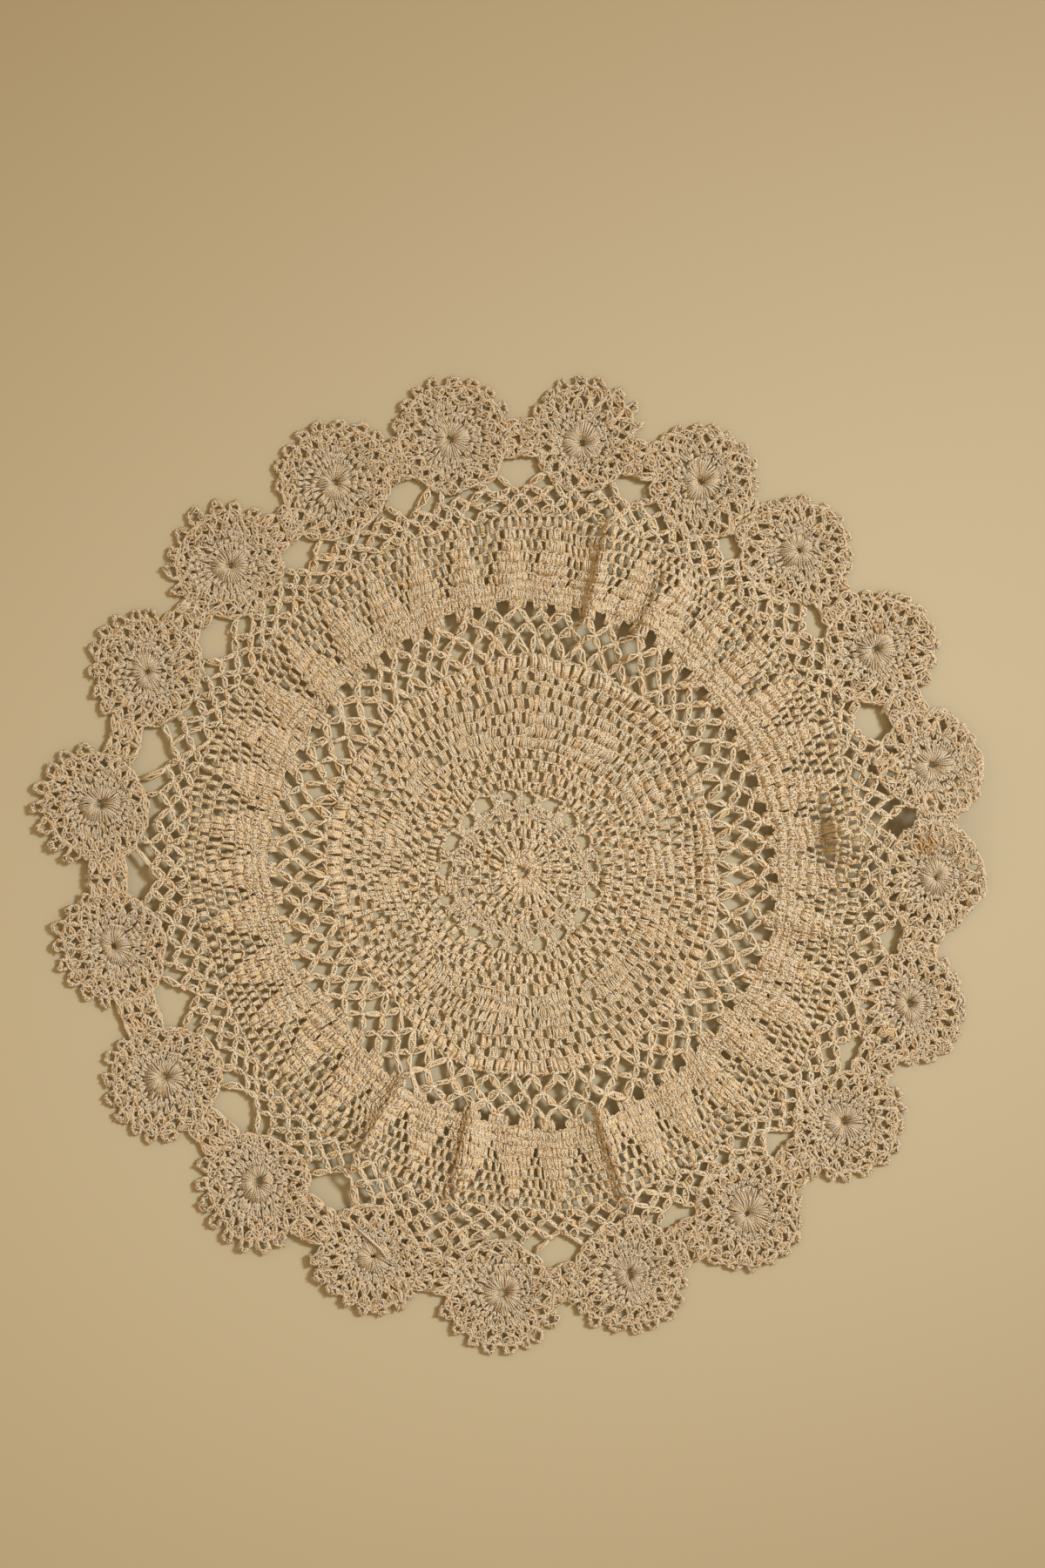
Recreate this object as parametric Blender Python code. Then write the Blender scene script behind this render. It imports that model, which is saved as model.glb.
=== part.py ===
"""Round crocheted lace doily, lying flat with a ruffled band.

One worked-in-the-round body (medallion, trellis, band, outer net) and twenty rosettes set
round it. Sizes are in millimetres until the meshes are written in metres. Angles are degrees
counter-clockwise from +X about the medallion's centre.
"""

import math

import bpy
import numpy as np
from mathutils import Vector
from mathutils.geometry import delaunay_2d_cdt

MM = 0.001
CENTRE = (4.9, -3.8)

MEDALLION_SHEET = 1.5
TRELLIS_SHEET = 1.3
BAND_SHEET = 2.0
NET_SHEET = 1.3
LACE_SHEET = 1.5
DISC_SHEET = 2.3
PICOT_SHEET = 2.1
CLEARANCE = 0.3
ROUND_OVERLAP = 1.0

CENTRE_HOLE = 2.95
CENTRE_HOLE_SIDES = 8
EYELET_RING = 31.9
EYELET_SIZE = 3.3
EYELET_SIDES = 6
EYELETS = (7, 27.7, 46.7, 64.6, 84.2, 101.5, 118.8, 137.3, 155.8, 175.4,
           199, 230, 248, 265, 284, 304.6, 325.4, 345)
SHELL_RING = 25.8
SHELL_HALF = 2.5
SHELL_RELIEF = 0.6

# Dense patches of the star, in degrees; their ring and half width are shares of the medallion's edge.
STAR_PATCHES = (5.8, 33, 59.2, 83.8, 108.5, 134.6, 163.8, 190, 230, 259.2, 283.8, 310.8, 338.5)
STAR_RING = 0.68
STAR_HALF = 0.1
STAR_SPREAD = 4
STAR_RELIEF = 0.5

# Ring radii: angle, medallion edge, middle of the band's first round, band edge.
EDGE, FIRST, BAND = 1, 2, 3
RINGS = np.array([
    (0, 86.6, 109.4, 148.2), (15, 87.0, 109.8, 148.6), (30, 89.7, 111.0, 149.0),
    (45, 91.6, 113.2, 150.9), (60, 93.1, 115.5, 153.9), (75, 94.2, 117.0, 155.8),
    (90, 94.2, 117.4, 155.0), (105, 91.6, 115.1, 152.0), (120, 90.1, 112.1, 151.2),
    (135, 87.8, 110.2, 149.0), (150, 86.6, 109.1, 147.4), (165, 86.6, 108.7, 147.4),
    (180, 84.4, 107.5, 146.3), (195, 81.7, 103.0, 141.0), (210, 81.3, 102.6, 140.2),
    (225, 78.7, 101.1, 140.6), (240, 82.1, 104.9, 142.1), (255, 87.4, 106.0, 144.0),
    (270, 88.5, 109.1, 146.3), (285, 88.5, 111.3, 148.2), (300, 89.7, 109.4, 147.4),
    (315, 89.3, 107.9, 147.1), (330, 88.5, 109.4, 147.1), (345, 87.0, 109.1, 147.1),
])

# How far the sheet stands off the table: angle, medallion edge, first round, band edge,
# outer net, rosette edge. Inside the flat share of the medallion it lies on the table.
FLAT_SHARE = 0.8
NET_DEPTH = 15
BORDER_DEPTH = 62
LEAST_LIFT = 0.02
LIFTS = np.array([
    (0, 1.0, 2.5, 2.5, 3.0, 1.0), (15, 2.0, 4.0, 3.0, 3.5, 1.5), (30, 1.5, 2.0, 1.5, 1.0, 0.3),
    (45, 1.0, 2.5, 1.5, 0.5, 0.0), (60, 1.0, 4.0, 2.0, 1.0, 0.0), (75, 1.0, 4.5, 2.5, 1.0, 0.0),
    (90, 1.0, 3.5, 1.5, 0.5, 0.0), (105, 0.5, 3.0, 1.0, 0.5, 0.0), (120, 0.5, 2.0, 1.0, 0.5, 0.0),
    (135, 0.5, 2.0, 1.0, 0.5, 0.0), (150, 0.5, 1.5, 1.0, 0.5, 0.0), (165, 0.5, 1.5, 1.5, 1.5, 0.4),
    (180, 2.5, 3.5, 3.0, 3.5, 1.0), (195, 1.0, 2.0, 1.5, 1.0, 0.0), (210, 0.5, 1.5, 1.0, 0.5, 0.0),
    (225, 0.5, 2.0, 1.5, 1.0, 0.0), (240, 1.5, 3.5, 3.5, 2.5, 1.2), (255, 1.0, 3.0, 2.0, 1.0, 0.4),
    (270, 1.5, 3.0, 1.5, 0.5, 0.0), (285, 3.0, 4.5, 2.0, 0.5, 0.0), (300, 1.5, 3.0, 1.5, 0.5, 0.0),
    (315, 1.0, 2.5, 1.5, 0.5, 0.0), (330, 1.0, 2.5, 1.5, 0.5, 0.0), (345, 0.5, 2.0, 1.0, 1.0, 0.4),
])

# Radial creases: crest angle, clockwise and counter-clockwise reach in degrees, height,
# inner and outer radius. The first ones are steep; the last two are broad.
STEEP_FOLDS = 6
FOLD_RUN = 9.0
FOLDS = np.array([
    (75.3, 3.6, 1.3, 4.0, 108, 158),
    (63.5, 3.6, 1.6, 4.0, 106, 142),
    (288.5, 1.5, 3.6, 4.0, 104, 152),
    (240.5, 1.6, 3.6, 3.5, 98, 148),
    (258.5, 1.3, 3.2, 2.5, 100, 146),
    (138.0, 3.0, 1.6, 1.5, 106, 148),
    (350.5, 2.5, 3.0, 1.5, 104, 148),
    (7.3, 6.5, 6.5, 9.0, 140, 222),
])

REPEATS = 40
REPEAT_START = 3.5
PLEAT = 0.9
PLEAT_RISE = 8
TRELLIS_LOOPS = 60
TRELLIS_PHASE = 0.06
# Gaps of one trellis loop: shift round the ring, then corners as loop share and depth share.
TRELLIS_GAPS = (
    (0.5, ((-0.36, 0.04), (0.36, 0.04), (0.17, 0.24), (-0.17, 0.24))),
    (0.0, ((0, 0.19), (0.33, 0.36), (0, 0.53), (-0.33, 0.36))),
    (0.5, ((0, 0.47), (0.33, 0.635), (0, 0.80), (-0.33, 0.635))),
)

# Net gaps under each big gap, a quarter of a repeat wide: across as a share of a loop, then
# height over the band's edge. The floor of the big gap steps up at its sides.
NET_ARCH = ((-0.33, 0.9), (0.33, 0.9), (0.2, 4.0), (-0.2, 4.0))
NET_LOOP = ((0, 4.5), (0.27, 6.8), (0, 9.2), (-0.27, 6.8))
NET_LOOPS = 4
GAP_HALF = 2.8
GAP_CORNER = 11.2
GAP_SHOULDER = 11.1
GAP_FLOOR = 9.7

# Rosettes: centre x, centre y, disc radius, hole radius, picot radius.
ROSETTES = np.array([
    (-24.7, 185.8, 14.6, 2.2, 27.2), (32.3, 185.8, 13.2, 1.8, 26.8), (83.6, 166.8, 13.4, 1.9, 25.8),
    (124.6, 135.7, 13.6, 1.6, 25.6), (160.4, 93.5, 13.6, 2.3, 26.2), (183.5, 43.7, 13.0, 2.0, 23.8),
    (184.3, -6.1, 12.8, 1.7, 22.8), (174.0, -61.9, 13.0, 2.5, 26.0), (146.3, -112.1, 13.6, 2.1, 26.2),
    (103.7, -151.2, 13.4, 2.1, 26.4), (52.1, -178.6, 14.2, 2.7, 27.6), (-3.8, -187.0, 14.8, 2.6, 27.4),
    (-60.0, -171.0, 13.0, 1.8, 26.6), (-110.2, -139.8, 15.4, 2.3, 28.6), (-150.1, -93.5, 14.4, 2.1, 27.6),
    (-171.8, -36.1, 14.4, 1.9, 28.2), (-179.4, 25.1, 14.4, 2.2, 28.4), (-157.7, 84.0, 14.4, 2.2, 27.6),
    (-122.0, 129.6, 15.8, 2.2, 28.6), (-76.0, 166.1, 15.4, 2.2, 27.8),
])
ROSETTE_HOLE_SIDES = 6
DISC_SIDES = 10
PICOTS = 6
PICOT_STEP = 24.0
PICOT_DEPTH = 3.4
PICOT_HALF = 0.3
PICOT_SHOULDER = 0.93
PICOT_TIP = 0.97
LACE_REACH = 23.7
LACE_BENDS = (-45, -30, -15, 0, 15, 30, 45)
FOOT_GAP = 0.05
WEB_OUT = 8.5
WEB_IN = 10.5
CLOSED_PAIR = 12

# Points that carry the relief inside the body, as shares of the medallion's or the band's depth.
POINT_GAP = 1.6
SPREAD = 1.6
MEDALLION_RINGS = ((9, 8), (16, 12))
STAR_SHARES = (0.5, 0.62, 0.72, 0.82, 0.92)
STAR_SIDE_SHARES = (0.5, 0.68)
STAR_SIDE = 6
STAR_BETWEEN = 13
STAR_BETWEEN_SHARE = 0.72
BAND_SHARES = (0.16, 0.5, 0.86)
CREASE_POINTS = 4
CREASE_FOOT = 1.6

THREAD_COLOUR = (0.62, 0.50, 0.34, 1.0)
ROSETTE_COLOUR = (0.64, 0.52, 0.36, 1.0)


def ring(column, angle, table=RINGS):
    """Value of one table column at an angle, straight between the rows."""
    return np.interp(angle, table[:, 0], table[:, column], period=360)


def polar(angle, radius):
    a = np.radians(angle)
    return np.stack([CENTRE[0] + radius * np.cos(a), CENTRE[1] + radius * np.sin(a)], axis=-1)


def stitch_angles():
    """Angles against turns round the band: crowding follows the square of its radius."""
    a = np.linspace(0, 360, 721)
    weight = ((ring(FIRST, a) + ring(BAND, a)) / 2) ** 2
    turn = np.concatenate([[0], np.cumsum((weight[1:] + weight[:-1]) / 2)])
    turn /= turn[-1]
    start = np.interp(REPEAT_START, a, turn)
    return a, turn, start


TURN_ANGLES, TURN_SHARE, TURN_START = stitch_angles()


def at_turn(turn):
    """Angle of a share of a turn, counted from the first repeat."""
    whole = np.floor(turn + TURN_START)
    return np.interp(turn + TURN_START - whole, TURN_SHARE, TURN_ANGLES) + 360 * whole


def turn_of(angle):
    return np.interp(np.mod(angle, 360), TURN_ANGLES, TURN_SHARE) - TURN_START


def ease(value):
    t = np.clip(value, 0, 1)
    return t * t * (3 - 2 * t)


def folds_at(angle, radius):
    """Height of the radial creases."""
    total = np.zeros(np.shape(angle))
    for crest, clockwise, counter, height, inner, outer in FOLDS:
        off = np.mod(angle - crest + 180, 360) - 180
        reach = np.where(off < 0, clockwise, counter)
        side = np.exp(-((off / reach) ** 2))
        run = ease((radius - inner + FOLD_RUN) / FOLD_RUN) * ease((outer + FOLD_RUN - radius) / FOLD_RUN)
        total = total + height * side * run
    return total


def spot_of(points):
    """Angle, radius and the three ring radii at each point."""
    off = np.asarray(points, float) - CENTRE
    radius = np.hypot(off[..., 0], off[..., 1])
    angle = np.mod(np.degrees(np.arctan2(off[..., 1], off[..., 0])), 360)
    return angle, radius, ring(EDGE, angle), ring(FIRST, angle), ring(BAND, angle)


def lift_at(points):
    """Underside of the sheet above the table."""
    angle, radius, edge, first, band = spot_of(points)
    stops = (FLAT_SHARE * edge, edge, first, band, band + NET_DEPTH, band + BORDER_DEPTH)
    lifts = [np.zeros(np.shape(angle))] + [ring(c, angle, LIFTS) for c in range(1, len(stops))]
    total = lifts[0]
    for i in range(len(stops) - 1):
        share = ease((radius - stops[i]) / (stops[i + 1] - stops[i]))
        total = total + (lifts[i + 1] - lifts[i]) * share
    pleat = 0.5 - 0.5 * np.cos(2 * math.pi * REPEATS * turn_of(angle))
    rise = ease((radius - first) / PLEAT_RISE + 0.5) * ease((band - radius) / PLEAT_RISE)
    total = total + PLEAT * pleat * rise + folds_at(angle, radius)
    return np.where(total < LEAST_LIFT, 0.0, total)


def body_sheet(points):
    """Thickness of the body at each point."""
    angle, radius, edge, first, band = spot_of(points)
    sheet = np.where(radius < edge - ROUND_OVERLAP, MEDALLION_SHEET, TRELLIS_SHEET)
    sheet = np.where(radius > first - ROUND_OVERLAP, BAND_SHEET, sheet)
    sheet = np.where(radius > band - ROUND_OVERLAP, NET_SHEET, sheet)
    nearest = np.min([np.abs(np.mod(angle - p + 180, 360) - 180) for p in STAR_PATCHES], axis=0)
    star = (np.abs(radius - STAR_RING * edge) < STAR_HALF * edge) & (nearest < STAR_SPREAD)
    shell = np.abs(radius - SHELL_RING) < SHELL_HALF
    return sheet + STAR_RELIEF * star + SHELL_RELIEF * shell


def inside(loop, points):
    """Whether each point lies in a closed loop."""
    x, y = points[:, 0:1], points[:, 1:2]
    ax, ay = loop[:, 0], loop[:, 1]
    bx, by = np.roll(ax, -1), np.roll(ay, -1)
    spans = (ay > y) != (by > y)
    with np.errstate(divide="ignore", invalid="ignore"):
        crosses = x < (bx - ax) * (y - ay) / (by - ay) + ax
    return (spans & crosses).sum(axis=1) % 2 == 1


def solid_sheet(name, outline, holes, extra, sheet_at, material):
    """A sheet with holes as one closed mesh: two matching faces and walls between them."""
    loops = [np.asarray(outline, float)] + [np.asarray(h, float) for h in holes]
    extra = np.asarray(extra, float).reshape(-1, 2)
    edges, start = [], 0
    for loop in loops:
        n = len(loop)
        edges += [(start + i, start + (i + 1) % n) for i in range(n)]
        start += n
    flat = np.concatenate(loops + [extra])
    found = delaunay_2d_cdt([Vector(p) for p in flat], edges, [], 0, 1e-7)
    points = np.array([tuple(v) for v in found[0]])
    faces = np.array([f for f in found[2] if len(f) == 3])
    middle = points[faces].mean(axis=1)
    keep = inside(loops[0], middle)
    for loop in loops[1:]:
        keep &= ~inside(loop, middle)
    faces = faces[keep]
    a, b, c = (points[faces[:, i]] for i in range(3))
    turned = (b[:, 0] - a[:, 0]) * (c[:, 1] - a[:, 1]) < (b[:, 1] - a[:, 1]) * (c[:, 0] - a[:, 0])
    faces[turned] = faces[turned][:, ::-1]
    used, faces = np.unique(faces, return_inverse=True)
    faces = faces.reshape(-1, 3)
    points = points[used]
    low = lift_at(points)
    high = low + sheet_at(points)
    count = len(points)
    vertices = np.concatenate([np.column_stack([points, low]), np.column_stack([points, high])])
    ends = np.concatenate([faces[:, [0, 1]], faces[:, [1, 2]], faces[:, [2, 0]]])
    pairs = {tuple(e) for e in ends.tolist()}
    rim = [e for e in pairs if (e[1], e[0]) not in pairs]
    walls = [(i, j, j + count, i + count) for i, j in sorted(rim)]
    mesh = bpy.data.meshes.new(name)
    mesh.from_pydata(
        (vertices * MM).tolist(), [],
        faces[:, ::-1].tolist() + (faces + count).tolist() + walls,
    )
    mesh.materials.append(material)
    obj = bpy.data.objects.new(name, mesh)
    bpy.context.scene.collection.objects.link(obj)
    return obj


def material(name, colour):
    made = bpy.data.materials.new(name)
    made.use_nodes = True
    shader = made.node_tree.nodes["Principled BSDF"]
    shader.inputs["Base Color"].default_value = colour
    shader.inputs["Roughness"].default_value = 0.85
    return made


def circle(x, y, radius, count, turn=0.0):
    a = np.radians(turn + np.arange(count) * 360 / count)
    return np.stack([x + radius * np.cos(a), y + radius * np.sin(a)], axis=-1)


def medallion_holes():
    holes = [circle(*CENTRE, CENTRE_HOLE, CENTRE_HOLE_SIDES)]
    for angle in EYELETS:
        holes.append(circle(*polar(angle, EYELET_RING), EYELET_SIZE, EYELET_SIDES, angle))
    return holes


def trellis_holes():
    """Arches against the medallion, then two staggered rows of diamonds."""
    holes = []
    for k in range(TRELLIS_LOOPS):
        for shift, corners in TRELLIS_GAPS:
            middle = (k + shift + TRELLIS_PHASE) / TRELLIS_LOOPS
            spot = float(at_turn(middle))
            edge, depth = ring(EDGE, spot), ring(FIRST, spot) - ring(EDGE, spot)
            holes.append([
                polar(float(at_turn(middle + across / TRELLIS_LOOPS)), edge + share * depth)
                for across, share in corners
            ])
    return holes


def bearings():
    """The rosettes' order round the doily and the direction of each from the middle."""
    off = ROSETTES[:, :2] - CENTRE
    angle = np.mod(np.degrees(np.arctan2(off[:, 1], off[:, 0])), 360)
    order = np.argsort(angle)
    return order, angle[order]


def gap_of(k, angle):
    """Direction of the gap after rosette k, and the width of one net loop there."""
    spacing = np.mod(angle[(k + 1) % len(angle)] - angle[k], 360)
    return angle[k] + spacing / 2, spacing / NET_LOOPS


def net_holes(angle):
    """Under each big gap: one arch on the band and two loops beside it."""
    holes = []
    for k in range(len(angle)):
        middle, loop = gap_of(k, angle)
        for side, corners in ((0, NET_ARCH), (-0.5, NET_LOOP), (0.5, NET_LOOP)):
            at = middle + side * loop
            base = ring(BAND, at)
            holes.append([polar(at + across * loop, base + height) for across, height in corners])
    return holes


def body_outline(order, angle):
    """Feet that hug each rosette, with the floors of the big gaps between them."""
    outline = []
    count = len(order)
    for k in range(count):
        x, y, _, _, _ = ROSETTES[order[k]]
        reach = LACE_REACH + CLEARANCE + FOOT_GAP
        for bend in LACE_BENDS:
            a = math.radians(angle[k] + 180 - bend)
            outline.append((x + reach * math.cos(a), y + reach * math.sin(a)))
        middle, loop = gap_of(k, angle)
        if order[k] == CLOSED_PAIR:
            left, right = ROSETTES[order[k], :2], ROSETTES[order[(k + 1) % count], :2]
            inward = np.array(CENTRE) - (left + right) / 2
            inward /= np.linalg.norm(inward)
            spot = (left + right) / 2 + inward * (WEB_IN + 2 * CLEARANCE)
            outline.append(tuple(spot))
            continue
        sides = ((GAP_HALF, GAP_CORNER), (0.5 * loop, GAP_SHOULDER))
        floor = [(-off, height) for off, height in sides] + [(0, GAP_FLOOR)] + list(sides[::-1])
        for off, height in floor:
            outline.append(tuple(polar(middle + off, ring(BAND, middle + off) + height)))
    return np.array(outline)


def body_points():
    """Points that carry the relief inside the body."""
    spots = []
    for radius, count in MEDALLION_RINGS:
        spots += list(circle(*CENTRE, radius, count))
    for k, angle in enumerate(EYELETS):
        following = EYELETS[(k + 1) % len(EYELETS)]
        spots.append(polar(angle + np.mod(following - angle, 360) / 2, SHELL_RING))
    for patch in STAR_PATCHES:
        edge = ring(EDGE, patch)
        spots += [polar(patch, share * edge) for share in STAR_SHARES]
        for side in (-STAR_SIDE, STAR_SIDE):
            spots += [polar(patch + side, share * edge) for share in STAR_SIDE_SHARES]
        spots.append(polar(patch + STAR_BETWEEN, STAR_BETWEEN_SHARE * edge))
    for k in range(2 * REPEATS):
        angle = float(at_turn(k / (2 * REPEATS)))
        first, band = ring(FIRST, angle), ring(BAND, angle)
        for share in BAND_SHARES:
            spots.append(polar(angle, first + share * (band - first)))
    for crest, clockwise, counter, _, inner, outer in FOLDS[:STEEP_FOLDS]:
        for radius in np.linspace(inner + FOLD_RUN, outer - FOLD_RUN, CREASE_POINTS):
            for turn in (0, -clockwise * CREASE_FOOT, counter * CREASE_FOOT):
                spots.append(polar(crest + turn, radius))
    return np.array(spots)


def spaced(spots, walls, gap):
    """Drops points nearer than the gap to a wall or to a point already kept."""
    a, b = [], []
    for loop in walls:
        loop = np.asarray(loop, float)
        a.append(loop)
        b.append(np.roll(loop, -1, axis=0))
    a, b = np.concatenate(a), np.concatenate(b)
    along = b - a
    kept = []
    for spot in spots:
        share = np.clip(((spot - a) * along).sum(1) / (along ** 2).sum(1), 0, 1)
        near = np.hypot(*(a + share[:, None] * along - spot).T).min()
        if near > gap and all(math.dist(spot, other) > SPREAD * gap for other in kept):
            kept.append(spot)
    return np.array(kept)


def rosette_outline(k, order, angle):
    """Picots outwards, a web to each neighbour, and plain lace on the inner side."""
    count = len(order)
    x, y, _, _, picot = ROSETTES[order[k]]
    here = np.array([x, y])
    out = math.radians(angle[k])
    outline = []
    webs = []
    for side in (-1, 1):
        other = ROSETTES[order[(k + side) % count], :2]
        middle = (here + other) / 2
        normal = middle - CENTRE
        along = (other - here) / np.linalg.norm(other - here)
        normal = normal - along * (normal @ along)
        normal /= np.linalg.norm(normal)
        edge = middle - along * CLEARANCE / 2
        webs.append((edge + normal * WEB_OUT, edge - normal * WEB_IN))
    right_out, right_in = webs[0]
    left_out, left_in = webs[1]
    outline += [right_in, right_out]
    first = -(PICOTS - 1) / 2 * PICOT_STEP
    for p in range(PICOTS):
        at = first + p * PICOT_STEP
        tilt = out + math.radians(at)
        for side, share in ((-PICOT_HALF, PICOT_SHOULDER), (0, 1), (PICOT_HALF, PICOT_SHOULDER)):
            a = tilt + math.radians(side * PICOT_STEP)
            outline.append((x + share * picot * math.cos(a), y + share * picot * math.sin(a)))
        if p < PICOTS - 1:
            a = tilt + math.radians(PICOT_STEP / 2)
            deep = picot - PICOT_DEPTH
            outline.append((x + deep * math.cos(a), y + deep * math.sin(a)))
    outline += [left_out, left_in]
    for bend in LACE_BENDS:
        a = out + math.pi + math.radians(bend)
        outline.append((x + LACE_REACH * math.cos(a), y + LACE_REACH * math.sin(a)))
    return np.array(outline)


def rosette_sheet(k, order):
    x, y, disc, _, picot = ROSETTES[order[k]]

    def sheet_at(points):
        far = np.hypot(points[:, 0] - x, points[:, 1] - y)
        sheet = np.where(far < disc + ROUND_OVERLAP, DISC_SHEET, LACE_SHEET)
        return np.where(far > PICOT_TIP * picot, PICOT_SHEET, sheet)

    return sheet_at


def main():
    for obj in list(bpy.data.objects):
        bpy.data.objects.remove(obj)
    thread = material("ecru_thread", THREAD_COLOUR)
    bright = material("rosette_thread", ROSETTE_COLOUR)
    order, angle = bearings()
    outline = body_outline(order, angle)
    holes = medallion_holes() + trellis_holes() + net_holes(angle)
    extra = spaced(body_points(), [outline] + holes, POINT_GAP)
    solid_sheet("round_body", outline, holes, extra, body_sheet, thread)
    for k in range(len(order)):
        x, y, disc, hole, _ = ROSETTES[order[k]]
        solid_sheet(
            f"rosette_{k + 1:02d}",
            rosette_outline(k, order, angle),
            [circle(x, y, hole, ROSETTE_HOLE_SIDES, angle[k])],
            circle(x, y, disc, DISC_SIDES, angle[k]),
            rosette_sheet(k, order),
            bright,
        )


main()
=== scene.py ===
"""Crocheted lace doily: every stitch as thread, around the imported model.

Laid out as a Blender add-on and run as a script. Shapes are worked out in millimetres with
numpy and written to the meshes in metres. Angles are degrees counter-clockwise from +X about
the medallion's centre, and a turn is one whole round.
"""

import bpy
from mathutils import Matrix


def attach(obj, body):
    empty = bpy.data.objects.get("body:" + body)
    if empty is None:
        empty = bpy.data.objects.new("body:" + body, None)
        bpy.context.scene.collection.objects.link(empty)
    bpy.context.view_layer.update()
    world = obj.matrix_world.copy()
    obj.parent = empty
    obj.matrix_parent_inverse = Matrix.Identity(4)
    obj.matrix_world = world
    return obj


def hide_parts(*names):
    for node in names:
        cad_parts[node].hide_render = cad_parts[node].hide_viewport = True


bl_info = {
    "name": "Crocheted Lace Doily",
    "version": (1, 0, 0),
    "blender": (4, 5, 0),
    "location": "3D View > Sidebar > Doily",
    "description": "Thread-level crochet for a round doily, with a plain table and soft light",
    "category": "Add Mesh",
}

import math

import bpy
import numpy as np
from bpy.props import FloatProperty, FloatVectorProperty, PointerProperty
from mathutils import Vector

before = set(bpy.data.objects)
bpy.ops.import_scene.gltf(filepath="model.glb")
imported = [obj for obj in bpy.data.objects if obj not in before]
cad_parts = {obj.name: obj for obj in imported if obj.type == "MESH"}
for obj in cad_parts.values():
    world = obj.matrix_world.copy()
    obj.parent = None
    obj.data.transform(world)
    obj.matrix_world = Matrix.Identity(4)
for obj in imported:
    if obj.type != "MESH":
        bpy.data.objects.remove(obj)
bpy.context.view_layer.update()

MM = 0.001
SEED, BAND_SEED, ROSETTE_SEED = 7, 8, 17
CENTRE = (4.9, -3.8)
TINY = 1e-9

# Ring radii: angle, medallion edge, middle of the band's first round, band edge.
EDGE, FIRST, BAND = 1, 2, 3
RINGS = np.array([
    (0, 86.6, 109.4, 148.2), (15, 87.0, 109.8, 148.6), (30, 89.7, 111.0, 149.0),
    (45, 91.6, 113.2, 150.9), (60, 93.1, 115.5, 153.9), (75, 94.2, 117.0, 155.8),
    (90, 94.2, 117.4, 155.0), (105, 91.6, 115.1, 152.0), (120, 90.1, 112.1, 151.2),
    (135, 87.8, 110.2, 149.0), (150, 86.6, 109.1, 147.4), (165, 86.6, 108.7, 147.4),
    (180, 84.4, 107.5, 146.3), (195, 81.7, 103.0, 141.0), (210, 81.3, 102.6, 140.2),
    (225, 78.7, 101.1, 140.6), (240, 82.1, 104.9, 142.1), (255, 87.4, 106.0, 144.0),
    (270, 88.5, 109.1, 146.3), (285, 88.5, 111.3, 148.2), (300, 89.7, 109.4, 147.4),
    (315, 89.3, 107.9, 147.1), (330, 88.5, 109.4, 147.1), (345, 87.0, 109.1, 147.1),
])

# How far the sheet stands off the table: angle, medallion edge, first round, band edge,
# outer net, rosette edge. Inside the flat share of the medallion it lies on the table.
FLAT_SHARE = 0.8
NET_DEPTH = 15
BORDER_DEPTH = 62
LIFTS = np.array([
    (0, 1.0, 2.5, 2.5, 3.0, 1.0), (15, 2.0, 4.0, 3.0, 3.5, 1.5), (30, 1.5, 2.0, 1.5, 1.0, 0.3),
    (45, 1.0, 2.5, 1.5, 0.5, 0.0), (60, 1.0, 4.0, 2.0, 1.0, 0.0), (75, 1.0, 4.5, 2.5, 1.0, 0.0),
    (90, 1.0, 3.5, 1.5, 0.5, 0.0), (105, 0.5, 3.0, 1.0, 0.5, 0.0), (120, 0.5, 2.0, 1.0, 0.5, 0.0),
    (135, 0.5, 2.0, 1.0, 0.5, 0.0), (150, 0.5, 1.5, 1.0, 0.5, 0.0), (165, 0.5, 1.5, 1.5, 1.5, 0.4),
    (180, 2.5, 3.5, 3.0, 3.5, 1.0), (195, 1.0, 2.0, 1.5, 1.0, 0.0), (210, 0.5, 1.5, 1.0, 0.5, 0.0),
    (225, 0.5, 2.0, 1.5, 1.0, 0.0), (240, 1.5, 3.5, 3.5, 2.5, 1.2), (255, 1.0, 3.0, 2.0, 1.0, 0.4),
    (270, 1.5, 3.0, 1.5, 0.5, 0.0), (285, 3.0, 4.5, 2.0, 0.5, 0.0), (300, 1.5, 3.0, 1.5, 0.5, 0.0),
    (315, 1.0, 2.5, 1.5, 0.5, 0.0), (330, 1.0, 2.5, 1.5, 0.5, 0.0), (345, 0.5, 2.0, 1.0, 1.0, 0.4),
])

# Radial creases: crest angle, clockwise and counter-clockwise reach in degrees, height,
# inner and outer radius.
FOLD_RUN = 9.0
FOLDS = np.array([
    (75.3, 3.6, 1.3, 4.0, 108, 158),
    (63.5, 3.6, 1.6, 4.0, 106, 142),
    (288.5, 1.5, 3.6, 4.0, 104, 152),
    (240.5, 1.6, 3.6, 3.5, 98, 148),
    (258.5, 1.3, 3.2, 2.5, 100, 146),
    (138.0, 3.0, 1.6, 1.5, 106, 148),
    (350.5, 2.5, 3.0, 1.5, 104, 148),
    (7.3, 6.5, 6.5, 9.0, 140, 222),
])
# The band's repeats, the angle where the first one starts, the angles at which turns are
# counted, and each repeat's pleat: its height and the run over which it rises.
REPEATS = 40
REPEAT_START = 3.5
ANGLE_STEPS = 721
PLEAT = 0.9
PLEAT_RISE = 8

# Medallion: its mean edge, the share of it inside which the rounds are even, and the angles
# of the eyelets and of the star's patches. Rounds are radii of a medallion of the mean size.
MEDALLION_MEAN = 88.2
ROUND_SHARE = 0.4
EYELETS = (7, 27.7, 46.7, 64.6, 84.2, 101.5, 118.8, 137.3, 155.8, 175.4,
           199, 214.5, 230, 248, 265, 284, 304.6, 325.4, 345)
STAR_PATCHES = (5.8, 33, 59.2, 83.8, 108.5, 134.6, 163.8, 190, 230, 259.2, 283.8, 310.8, 338.5)

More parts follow.
